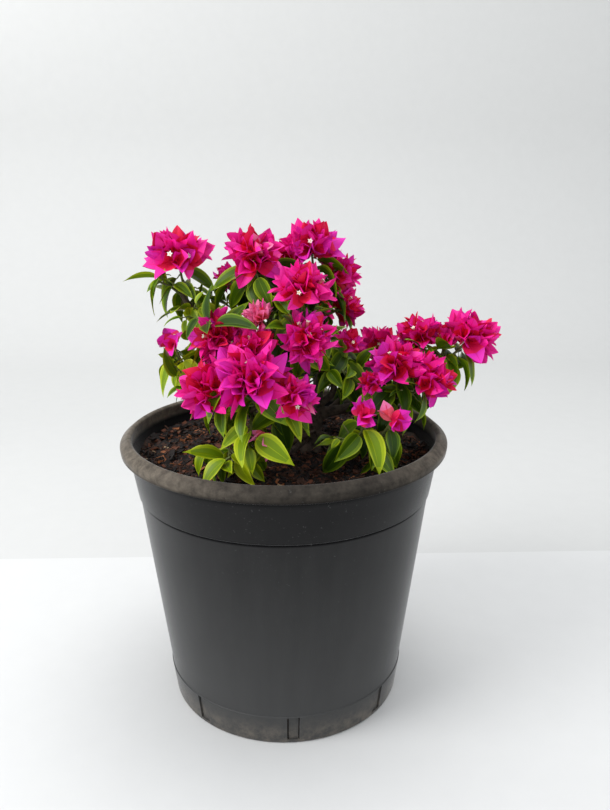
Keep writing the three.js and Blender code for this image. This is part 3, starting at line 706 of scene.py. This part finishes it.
# A mass's leaf tone is partly painted light: the outer masses at the left, front and right are dealt
# lighter tones, and those inside the crown and at the back, which lie in its shade, darker ones.
MASSES = {
    # name: centre, reach, shoots, seed, leaf tone, heads as (x, y, z, size)
    "top_left": ((-90, -6, 396), 52, 3, 11, 2.0, [(-90, -6, 410, 1.12)]),
    "left_low": ((-84, -28, 324), 40, 5, 12, 2.3, [(-94, -32, 344, 0.45)]),
    "top_centre": ((-34, -20, 402), 46, 3, 13, 1.2, [(-25, -26, 413, 1), (-48, 2, 396, 0.5)]),
    "top_right": ((30, 26, 400), 56, 3, 14, 1.0,
                  [(26, 22, 416, 1.05), (6, 16, 412, 0.75), (48, 32, 394, 0.85), (52, 32, 364, 0.8)]),
    "centre": ((12, -54, 366), 48, 4, 31, 1.1,
               [(15, -54, 388, 1), (17, -60, 353, 0.9), (-18, -52, 368, 0.6)]),
    "left_centre": ((-53, -46, 360), 43, 4, 16, 1.2, [(-52, -51, 353, 0.9)]),
    "front": ((-22, -86, 318), 60, 3, 17, 1.7,
              [(-27, -66, 343, 0.85), (-56, -78, 313, 1.05), (-25, -90, 324, 1.2), (5, -86, 309, 0.85),
               (-16, -92, 277, 0.35)]),
    "low_left": ((-52, -86, 262), 40, 6, 18, 2.2, []),
    "inner_right": ((50, -24, 326), 40, 5, 19, 0.9, [(55, -16, 337, 0.65)]),
    "right_front": ((98, -40, 308), 48, 4, 20, 1.0,
                    [(96, -44, 323, 0.95), (121, -44, 311, 0.95), (75, -54, 313, 0.5)]),
    "right": ((148, 2, 332), 54, 4, 21, 1.6,
              [(125, 8, 338, 0.9), (165, -2, 339, 1.0), (146, 4, 337, 0.6)]),
    "low_right": ((66, -76, 272), 42, 5, 22, 1.5, [(65, -76, 292, 0.35), (88, -78, 288, 0.4)]),
    "back_left": ((-58, 58, 316), 48, 4, 23, 0.8, [(-66, 66, 330, 0.95), (-38, 76, 306, 0.75)]),
    "back_high": ((8, 82, 362), 50, 4, 24, 0.9, [(-2, 92, 374, 1), (30, 84, 352, 0.8)]),
    "back_low": ((8, 92, 298), 48, 5, 25, 1.2, [(6, 106, 304, 0.85)]),
    "back_right": ((84, 58, 302), 48, 4, 26, 1.0, [(94, 66, 316, 0.9), (58, 78, 306, 0.7)]),
}
# The oldest heads have faded; each is given by its mass and its number there.
FADED_HEADS = [("centre", 2), ("front", 4), ("low_right", 1)]
SMALLEST_HEAD = 0.6
OLD_BRANCH = [(27, -4, 257), (14, -16, 253), (-8, -28, 246)]
head_middles = np.array([head[:3] for mass in MASSES.values() for head in mass[5]], float)
head_sizes = np.array([max(head[3], SMALLEST_HEAD) for mass in MASSES.values() for head in mass[5]])


class Draw:
    """The source's own run of random numbers, so that both grow the same crown."""

    def __init__(self, seed):
        self.state = seed

    def __call__(self, first=0.0, last=1.0):
        self.state = (self.state + 0x6D2B79F5) & 0xFFFFFFFF
        mixed = (self.state ^ (self.state >> 15)) * (1 | self.state) & 0xFFFFFFFF
        more = (mixed ^ (mixed >> 7)) * (61 | mixed) & 0xFFFFFFFF
        mixed = ((mixed + more) & 0xFFFFFFFF) ^ mixed
        return mix(first, last, (mixed ^ (mixed >> 14)) / 4294967296)


def square_to(direction, axis):
    return unit(direction - axis * np.dot(direction, axis))


def spun(vector, axis, angle):
    return (vector * math.cos(angle) + np.cross(axis, vector) * math.sin(angle)
            + axis * np.dot(axis, vector) * (1 - math.cos(angle)))


def outward(point):
    return unit(np.array([point[0] - TRUNK_FOOT[0], point[1] - TRUNK_FOOT[1], 0.0]))


def has_room(points, centre, reach):
    """Whether points keep to a mass's reach and clear of the pot and the compost."""
    points = np.asarray(points)
    if np.linalg.norm(points - centre, axis=1).max() > reach * REACH_OUT:
        return False
    above_rim = points[:, 2] > POT_HEIGHT + 2
    level_with_rim = np.hypot(points[:, 0], points[:, 1]) < CREST_INNER_RADIUS - 4
    inside_rim = level_with_rim & (points[:, 2] > SOIL_LEVEL + 3)
    return above_rim.all() or inside_rim.all()


def tapering(first, last):
    return lambda share, angle: mix(first, last, share)


twigs = Heap()
branches = []
heads = []
BROWN, GREEN = 0, 1
for name, (centre, reach, shoots, seed, tone, mass_heads) in MASSES.items():
    centre = np.array(centre, float)
    bough, bough_tip = lines[name], BOUGHS[name][4][1]
    tip, heading = bough.at(1), bough.heading(1)
    start = tip - heading * 2
    hub = centre - UP * 0.2 * reach
    knee = start + heading * 0.35 * np.linalg.norm(hub - start)
    stem = Line([start, knee, hub])
    twigs.add(*limb(stem, 14, 7, tapering(bough_tip, STEM_TIP)), BROWN)
    for number, (x, y, z, size) in enumerate(mass_heads):
        draw = Draw(seed * 1000 + number)
        middle = np.array([x, y, z], float)
        at = draw(0.6, 0.96)
        axis = unit(unit(middle - centre) + UP * 1.1 + outward(middle) * 0.35)
        bend = middle - axis * 0.45 * np.linalg.norm(middle - stem.at(at))
        stalk = Line([stem.at(at), bend, middle])
        twigs.add(*limb(stalk, 12, 6, tapering(TWIG_RADIUS, TWIG_TIP)), GREEN)
        heads.append((middle, axis, size, (name, number) in FADED_HEADS, draw))
        branches.append(("stalk", stalk, centre, reach, tone, draw))
    for number in range(shoots):
        draw = Draw(seed * 1000 + 500 + number)
        from_here = stem.at(mix(0.35, 1, (number + draw()) / shoots))
        turn = number * GOLDEN_ANGLE + seed + draw(-0.4, 0.4)
        rise = mix(-0.5, 0.9, (number + 0.5) / shoots)
        direction = unit(np.array([math.cos(turn), math.sin(turn), rise]))
        length = reach * draw(0.4, 0.62)
        end = from_here + direction * length
        if has_room([from_here, end], centre, reach):
            shoot = Line([from_here, (from_here + end) / 2 + UP * length * 0.08, end])
            twigs.add(*limb(shoot, 10, 6, tapering(TWIG_RADIUS, TWIG_TIP)), GREEN)
            branches.append(("shoot", shoot, centre, reach, tone, draw))
            for side in range(3):
                leave, along = shoot.at(0.25 + 0.27 * side), shoot.heading(0.25 + 0.27 * side)
                away = spun(square_to(UP, along), along, side * GOLDEN_ANGLE + draw(0, 6.28))
                finer = unit(along * 0.8 + away + UP * draw(-0.3, 0.3))
                reach_of_side = draw(9, 17)
                end = leave + finer * reach_of_side
                if has_room([end], centre, reach):
                    side_twig = Line([leave, (leave + end) / 2 + UP * 1.2, end])
                    twigs.add(*limb(side_twig, 6, 5, tapering(0.8, 0.5)), GREEN)
                    branches.append(("side", side_twig, centre, reach, tone, draw))

twigs.add(*limb(Line(OLD_BRANCH), 12, 8, tapering(2.8, 1.3)), BROWN)

# ---------------------------------------------------------------- Leaves
# Pointed oval leaves on short stalks, folded along the midrib and hanging at their tips. Each is dark
# green inside a lighter margin, which is partly the leaf's colour and partly painted light: painted shade
# in the middle and painted light shining through at the margin. The outer masses at the left, front and
# right are dealt lighter tones, up to lime, and those inside the crown and at the back darker ones, partly
# as painted light and shade.
LEAF_LENGTH, LEAF_WIDTH = 45, 0.51
LEAF_STALK, LOW_MASS, HEAD_CLEAR, HEART_CLEAR, CROWDED = 0.13, 290, 29, 15, 0.2
# A leaf that has no room is tried again smaller and turned further round its twig.
LEAF_TRIES = [(1, 0), (1, 1.7), (1, -1.7), (0.85, 3.1), (0.75, 0.8), (0.65, -0.8), (0.55, 2.4)]
# The middle colours are darker partly as painted shade, and the margin colours lighter partly as painted
# light shining through the blade.
LEAF_TONES = [
    # name, middle, blade and margin, linear colours
    ("deep", (0.020, 0.052, 0.002), (0.055, 0.110, 0.003), (0.150, 0.230, 0.008)),
    ("mid", (0.060, 0.125, 0.002), (0.150, 0.240, 0.004), (0.300, 0.400, 0.012)),
    ("bright", (0.150, 0.240, 0.003), (0.300, 0.390, 0.006), (0.450, 0.530, 0.020)),
    ("lime", (0.300, 0.390, 0.004), (0.430, 0.500, 0.008), (0.560, 0.620, 0.050)),
]


def blades(rows, ups, overs, outline, zones):
    """Thin blades joined into one mesh: their corners, their faces and each face's kind.

    A row holds root, direction, normal, length, width share, bend, fold, wave, phase, twist, tone."""
    root, direction, normal = (np.array([row[k] for row in rows]) for k in range(3))
    length, width, bend, fold, wave, phase, twist = (
        np.array([row[k] for row in rows])[:, None] for k in range(3, 10))
    tones = np.array([row[10] for row in rows])
    across = np.cross(normal, direction)
    up, over = (grid.ravel()[None, :] for grid in np.meshgrid(ups, overs, indexing="ij"))
    up = np.concatenate([[[0.0]], up, [[1.0]]], axis=1)
    over = np.concatenate([[[0.0]], over, [[0.0]]], axis=1)
    half = outline(up) * length * width / 2
    along = length * np.sin(bend * up) / bend
    sink = -length * (1 - np.cos(bend * up)) / bend
    beside = over * half * np.cos(fold)
    ruffle = np.sin(9 * up + phase + 1.3 * np.sign(over)) * over ** 2
    pleat = np.cos(7 * over + phase) * np.sin(math.pi * up)
    lift = np.abs(over) * half * np.sin(fold) + wave * length * (ruffle + 0.35 * pleat) * (half > 0)
    lean = twist * up
    beside, lift = (beside * np.cos(lean) - lift * np.sin(lean),
                    beside * np.sin(lean) + lift * np.cos(lean))
    forward = along + lift * np.sin(bend * up)
    raised = sink + lift * np.cos(bend * up)
    corners = (root[:, None, :] + forward[..., None] * direction[:, None, :]
               + raised[..., None] * normal[:, None, :] + beside[..., None] * across[:, None, :])
    wide = len(overs)
    faces, kinds = [], []
    for k in range(wide - 1):
        faces.append([0, 2 + k, 1 + k])
        kinds.append(zones(0, k))
        for j in range(len(ups) - 1):
            a = 1 + j * wide + k
            faces.append([a, a + 1, a + wide + 1, a + wide])
            kinds.append(zones(j + 1, k))
        a = 1 + (len(ups) - 1) * wide + k
        faces.append([a, a + 1, len(ups) * wide + 1])
        kinds.append(zones(len(ups), k))
    per_blade = len(ups) * wide + 2
    many = [[first * per_blade + corner for corner in face]
            for first in range(len(rows)) for face in faces]
    per_tone = max(kinds) + 1
    all_kinds = (tones[:, None] * per_tone + np.array(kinds)[None, :]).ravel()
    return corners.reshape(-1, 3), many, all_kinds


def pointed_oval(widest_early, tip_sharpness):
    """A blade's half width against its greatest, from root to tip."""
    peak = widest_early / (widest_early + tip_sharpness)
    greatest = peak ** widest_early * (1 - peak) ** tip_sharpness
    return lambda up: up ** widest_early * (1 - up) ** tip_sharpness / greatest


leaf_rows = []
leaf_middles = []
head_axes = np.array([head[1] for head in heads])


def add_leaf(branch, share, turn, size, droop):
    """One leaf at a share of a twig, unless it would hide a head, touch a leaf or leave its mass."""
    kind, line, centre, reach, tone, draw = branch
    root, along = line.at(share), line.heading(share)
    facing = spun(outward(root), UP, draw(-1.3, 1.3)) * 0.9 + UP
    for smaller, onward in LEAF_TRIES:
        side = spun(square_to(UP, along), along, turn + onward)
        hang = droop + max(0, (300 - root[2]) / 60)
        direction = unit(side + along * 0.45 - UP * hang)
        normal = square_to(facing, direction)
        length = LEAF_LENGTH * size * smaller
        tip = root + direction * length * 0.93 - normal * length * 0.25
        belly = root + direction * length * 0.55
        edge = np.cross(normal, direction) * length * 0.24
        hides_head = False
        for part in (belly, tip):
            away = part - head_middles
            apart = np.linalg.norm(away, axis=1)
            above = (away * head_axes).sum(axis=1) > 0.05 * apart
            is_near = (apart < HEAD_CLEAR * head_sizes) & above
            hides_head |= (is_near | (apart < HEART_CLEAR * head_sizes)).any()
        crowded = any(np.linalg.norm(belly - other) < CROWDED * (length + other_length)
                      for other, other_length in leaf_middles[-60:])
        if hides_head or crowded:
            continue
        if has_room([tip, belly + edge, belly - edge], centre, reach):
            leaf_middles.append((belly, length))
            blade_root = root + direction * length * LEAF_STALK
            twigs.add(*limb(Line([root, (root + blade_root) / 2 + UP * 0.3, blade_root]), 3, 4,
                            tapering(0.75, 0.45)), GREEN)
            shade = int(min(max(tone + draw(-0.9, 1.1), 0), 3.99))
            leaf_rows.append((blade_root - direction * 0.3, direction, normal, length * 0.88,
                              LEAF_WIDTH * draw(0.88, 1.1), draw(0.35, 1.0), draw(0.22, 0.5),
                              draw(0.008, 0.02), draw(0, 6.28), draw(-0.35, 0.35), shade))
            return


for branch in branches:
    kind, line, centre, reach, tone, draw = branch
    is_low = centre[2] <= LOW_MASS
    if kind == "stalk":
        for leaf in range(6):
            add_leaf(branch, 0.86 - 0.11 * leaf, leaf * GOLDEN_ANGLE + draw(), draw(0.7, 1.08),
                     draw(0.6, 1.6))
    elif kind == "shoot":
        count = max(round(line.length / (12 if is_low else 7)), 2)
        for leaf in range(count):
            add_leaf(branch, mix(0.25, 1, leaf / (count - 1)), leaf * 1.3 * GOLDEN_ANGLE + draw(),
                     draw(0.68, 1.08), draw(0.2, 1.1))
    else:
        for leaf in range(2 if is_low else 3):
            add_leaf(branch, 0.4 + 0.29 * leaf, leaf * GOLDEN_ANGLE + draw(), draw(0.4, 0.78),
                     draw(0, 1))


# The middle is partly painted shade and the margin partly painted light shining through the blade.
def leaf_zone(step, strip):
    """Middle, blade or margin, by the step from the root and the strip from side to side."""
    if step == 0 or step > 7:
        return 2 if strip in (0, 8) else 1
    return (2, 1, 0, 0, 1, 0, 0, 1, 2)[strip]


corners, faces, kinds = blades(
    leaf_rows, np.array([0.04, 0.12, 0.22, 0.34, 0.46, 0.58, 0.7, 0.81, 0.91]),
    np.array([-1, -0.87, -0.6, -0.3, -0.03, 0.03, 0.3, 0.6, 0.87, 1]), pointed_oval(0.62, 1.3), leaf_zone)
leaf_finishes = [plain_finish(f"leaf_{name}_{part}", colour, 0.42, 0.2)
                 for name, *colours in LEAF_TONES
                 for part, colour in zip(("middle", "blade", "margin"), colours)]
leaves = pieces_mesh("leaves", corners, faces, leaf_finishes, kinds)
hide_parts(*[f"mass_{name}" for name in MASSES])
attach(leaves, "root")

twig_finishes = [plain_finish("twig_brown", (0.085, 0.052, 0.032), 0.6),
                 plain_finish("twig_green", (0.115, 0.135, 0.030), 0.6)]
fine_wood = pieces_mesh("twigs", twigs.corners, twigs.faces, twig_finishes, twigs.kinds)
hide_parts(*[f"mass_{name}" for name in MASSES])
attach(fine_wood, "root")

# ---------------------------------------------------------------- Flower heads
# Each head is a dense ball of papery bracts that stand in threes round the ends of short branchlets,
# magenta to hot pink, redder at their roots and in the middle, paler in the oldest ones. A young head
# has only three sets, with broad bracts. A set that stands wide open shows its small flower.
BRACT_LENGTH, BRACT_WIDTH = 26, 0.66
HEAD_SETS = 23
YOUNG_SIZE, YOUNG_SETS, YOUNG_BRACT, YOUNG_BREADTH = 0.5, 3, 0.68, 1.25
CRIMSON, VIOLET, PALE = 3, 2, 4
BRACT_TONES = [
    # name, weight in a head, body, root and vein, linear colours
    ("magenta", 5, (0.820, 0.008, 0.290), (0.720, 0.007, 0.050), (0.700, 0.004, 0.190)),
    ("hot_pink", 5, (0.880, 0.024, 0.370), (0.800, 0.014, 0.085), (0.780, 0.010, 0.250)),
    ("violet", 2, (0.740, 0.018, 0.450), (0.700, 0.008, 0.100), (0.640, 0.010, 0.310)),
    ("crimson", 0.6, (0.720, 0.008, 0.070), (0.640, 0.004, 0.026), (0.620, 0.005, 0.045)),
    ("pale", 0.3, (0.880, 0.200, 0.420), (0.820, 0.110, 0.170), (0.840, 0.100, 0.280)),
]
bract_rows = []
flower_sites = []
weights = np.cumsum([tone[1] for tone in BRACT_TONES])
for middle, axis, size, is_faded, draw in heads:
    is_young = size < YOUNG_SIZE
    sites = YOUNG_SETS if is_young else round(HEAD_SETS * mix(0.35, 1, size))
    bract_size, breadth = (YOUNG_BRACT, YOUNG_BREADTH) if is_young else (size, 1)
    for site in range(sites):
        share = (site + 0.5) / sites
        tilt = mix(math.radians(4), math.radians(84), share ** 0.7) + draw(-0.16, 0.16)
        turn = site * GOLDEN_ANGLE + draw(-0.3, 0.3)
        side = spun(square_to(np.array([1, 0, 0.2]), axis), axis, turn)
        out = unit(axis * math.cos(tilt) + side * math.sin(tilt))
        root = middle + out * 5.5 * size * draw(0.6, 1.2)
        wide_open = draw() < 0.14 and share < 0.8
        if wide_open:
            flower_sites.append((root, out, size * draw(0.8, 1)))
        picked = int(np.searchsorted(weights, draw(0, weights[-1] - 1e-6), side="right"))
        if share < 0.3 and draw() < 0.4:
            picked = CRIMSON
        if is_young:
            picked = VIOLET
        if is_faded and draw() < 0.8:
            picked = PALE
        opening = (0.85 if wide_open else mix(0.32, 0.48, share)) + draw(-0.08, 0.08)
        first_turn = draw(0, 6.28)
        for third in range(3):
            petal_side = spun(square_to(np.array([0.2, 0.3, 1]), out), out,
                              first_turn + third * 2.094 + draw(-0.25, 0.25))
            spread = opening + draw(-0.12, 0.14)
            direction = unit(out * math.cos(spread) + petal_side * math.sin(spread))
            normal = square_to(out * math.sin(spread) - petal_side * math.cos(spread), direction)
            normal = spun(normal, direction, draw(-0.45, 0.45))
            length = BRACT_LENGTH * bract_size * draw(0.78, 1.12)
            width = BRACT_WIDTH * breadth * draw(0.85, 1.15)
            bract_rows.append((root - out * 1.5, direction, normal, length, width,
                               draw(0.1, 0.55) * (1 if draw() < 0.6 else -1) + 0.01, draw(0.3, 0.62),
                               draw(0.018, 0.04), draw(0, 6.28), draw(-0.5, 0.5), picked))


def bract_zone(step, strip):
    """Root, vein or body, by the step from the root and the strip from side to side."""
    if step < 5:
        return 1
    return 2 if strip == 2 else 0


corners, faces, kinds = blades(
    bract_rows, np.array([0.06, 0.16, 0.28, 0.42, 0.56, 0.7, 0.83, 0.93]),
    np.array([-1, -0.6, -0.07, 0.07, 0.6, 1]), pointed_oval(0.6, 0.95), bract_zone)
bract_finishes = []
for name, weight, *colours in BRACT_TONES:
    for part, colour in zip(("body", "root", "vein"), colours):
        finish = plain_finish(f"bract_{name}_{part}", colour, 0.55, 0.3)
        shader = finish.node_tree.nodes["Principled BSDF"]
        shader.inputs["Sheen Weight"].default_value = 0.25
        shader.inputs["Sheen Tint"].default_value = (*colour, 1)
        bract_finishes.append(finish)
blossom = pieces_mesh("bracts", corners, faces, bract_finishes, kinds)
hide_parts(*[f"mass_{name}" for name in MASSES])
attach(blossom, "root")

# ---------------------------------------------------------------- Small flowers
# The true flowers are small: a slim pink tube inside a ring of bracts, which opens in a white star.
flowers = Heap()
TUBE, STAR, EYE = 0, 1, 2
for root, out, size in flower_sites:
    mouth = root + out * 15 * size
    flowers.add(*limb(Line([root, (root + mouth) / 2, mouth]), 4, 6, tapering(0.8, 1.3)), TUBE)
    side = square_to(np.array([0.3, 1, 0.2]), out)
    points = [mouth + out * 0.2]
    for k in range(10):
        radius = (2.7 if k % 2 == 0 else 1.5) * size
        lift = 0.9 if k % 2 == 0 else 0.5
        points.append(mouth + spun(side, out, k * math.pi / 5) * radius + out * lift)
    flowers.add(points, [[0, 1 + k, 1 + (k + 1) % 10] for k in range(10)], STAR)
    middle = [mouth + out * 0.9] + [mouth + spun(side, out, k * math.pi / 3) * 0.8 + out * 0.6
                                    for k in range(6)]
    flowers.add(middle, [[0, 1 + k, 1 + (k + 1) % 6] for k in range(6)], EYE)
flower_finishes = [plain_finish("flower_tube", (0.62, 0.16, 0.18), 0.6),
                   plain_finish("flower_star", (0.88, 0.86, 0.78), 0.6),
                   plain_finish("flower_eye", (0.75, 0.66, 0.25), 0.6)]
stars = pieces_mesh("small_flowers", flowers.corners, flowers.faces, flower_finishes, flowers.kinds)
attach(stars, "root")

# ---------------------------------------------------------------- Studio
# A pale floor that sweeps up far behind, a lighter sheet that the pot stands on, soft light from the
# left and above, a glow on the backdrop, and the camera a little above the rim.
def stage_mesh(name, points, faces, colour):
    finish, tree, shader, place = node_material(name)
    fibre = noise_node(tree, place, 34, 5, 0.6)
    darker = tuple(channel * 0.955 for channel in colour)
    tree.links.new(mix_colour(tree, fibre, darker, colour), shader.inputs["Base Color"])
    shader.inputs["Roughness"].default_value = 0.8
    shader.inputs["Specular IOR Level"].default_value = 0.2
    made = pieces_mesh(name, points, faces, [finish])
    made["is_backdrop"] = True
    return made


sweep = [(-2600, -1), (1350, -1)]
sweep += [(1350 + 700 * math.sin(t), 699 - 700 * math.cos(t)) for t in np.linspace(0.05, math.pi / 2, 20)]
sweep.append((2050, 3000))
points = [(x, y, z) for y, z in sweep for x in (-3200, 3200)]
stage_mesh("backdrop", points, [[2 * k, 2 * k + 1, 2 * k + 3, 2 * k + 2] for k in range(len(sweep) - 1)],
           (0.64, 0.64, 0.63))
SHEET_REACH, SHEET_BACK = 1500, 239
stage_mesh("floor_sheet", [(-SHEET_REACH, -SHEET_REACH, 0), (SHEET_REACH, -SHEET_REACH, 0),
                           (SHEET_REACH, SHEET_BACK, 0), (-SHEET_REACH, SHEET_BACK, 0)],
           [[0, 1, 2, 3]], (0.70, 0.70, 0.695))

world = bpy.data.worlds.new("pale_room")
world.use_nodes = True
world.node_tree.nodes["Background"].inputs["Color"].default_value = (0.94, 0.97, 1.0, 1)
world.node_tree.nodes["Background"].inputs["Strength"].default_value = 0.9
bpy.context.scene.world = world


def softbox(name, place, aim, size, power):
    lamp = bpy.data.lights.new(name, "AREA")
    lamp.shape = "DISK"
    lamp.size = size
    lamp.energy = power
    made = bpy.data.objects.new(name, lamp)
    made.location = place
    made.rotation_euler = (Vector(aim) - Vector(place)).to_track_quat("-Z", "Y").to_euler()
    bpy.context.collection.objects.link(made)


softbox("key", (-1.55, -0.75, 1.6), (0, 0, 0.25), 1.2, 29)
softbox("top", (0.3, 0.3, 2.4), (0, 0, 0.2), 1.6, 18)
softbox("backdrop_glow", (-1.5, 1.1, 2.3), (-1.5, 2.05, 2.2), 0.6, 26)

camera = bpy.data.objects.new("camera", bpy.data.cameras.new("camera"))
bpy.context.collection.objects.link(camera)
camera.data.lens = 32.49
camera.location = (0, -0.6486, 0.469)
camera.rotation_euler = (math.radians(90 - 16.26), 0, math.radians(-1.69))
bpy.context.scene.camera = camera
bpy.context.scene.view_settings.view_transform = "Standard"

low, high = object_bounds()
